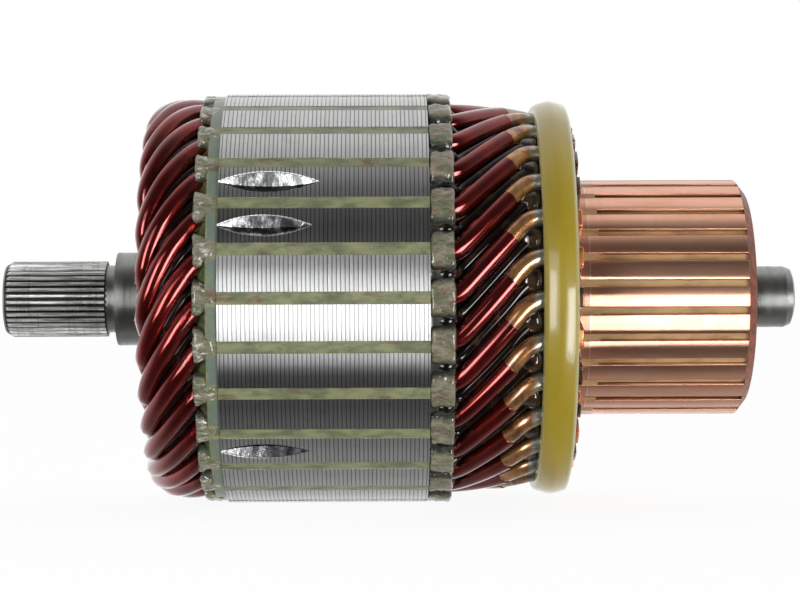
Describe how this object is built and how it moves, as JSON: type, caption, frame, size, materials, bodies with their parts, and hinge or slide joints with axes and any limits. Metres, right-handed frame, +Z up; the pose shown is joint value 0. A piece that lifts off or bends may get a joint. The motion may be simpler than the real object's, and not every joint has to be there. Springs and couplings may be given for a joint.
{
  "type": "starter motor armature",
  "caption": "Wound armature with a slotted laminated core, hairpin winding, banding ring and face-turned drum commutator on a serrated shaft.",
  "frame": {"origin": "on the shaft's axis, halfway along the shaft", "axes": "+X along the shaft towards the commutator, +Z up, the armature lying on its side"},
  "size_m": [0.1158, 0.06, 0.06],
  "materials": {
    "shaft_steel": "ground and phosphated steel",
    "core_steel": "turned edges of silicon steel sheets",
    "green_laminate": "green resin-bonded insulation",
    "varnished_paper": "insulating paper soaked in clear varnish",
    "banding_resin": "glossy resin over glass-fibre banding",
    "bare_copper": null,
    "enamelled_wire": "dark red enamel over copper wire",
    "mica": "bonded mica",
    "hub_moulding": "red-brown phenolic moulding"
  },
  "bodies": {
    "root": {"shaft": "shaft_steel", "lamination_stack": "core_steel", "end_insulator_head": "green_laminate", "end_insulator_lead": "green_laminate", "slot_liners": "varnished_paper", "slot_wedges": "green_laminate", "banding_ring": "banding_resin", "commutator_bars": "bare_copper", "commutator_mica": "mica", "commutator_hub": "hub_moulding", "hairpin_01": "enamelled_wire", "hairpin_02": "enamelled_wire", "hairpin_03": "enamelled_wire", "hairpin_04": "enamelled_wire", "hairpin_05": "enamelled_wire", "hairpin_06": "enamelled_wire", "hairpin_07": "enamelled_wire", "hairpin_08": "enamelled_wire", "hairpin_09": "enamelled_wire", "hairpin_10": "enamelled_wire", "hairpin_11": "enamelled_wire", "hairpin_12": "enamelled_wire", "hairpin_13": "enamelled_wire", "hairpin_14": "enamelled_wire", "hairpin_15": "enamelled_wire", "hairpin_16": "enamelled_wire", "hairpin_17": "enamelled_wire", "hairpin_18": "enamelled_wire", "hairpin_19": "enamelled_wire", "hairpin_20": "enamelled_wire", "hairpin_21": "enamelled_wire", "hairpin_22": "enamelled_wire", "hairpin_23": "enamelled_wire", "hairpin_24": "enamelled_wire", "hairpin_25": "enamelled_wire", "hairpin_26": "enamelled_wire", "hairpin_27": "enamelled_wire", "hairpin_28": "enamelled_wire"}
  },
  "joints": []
}
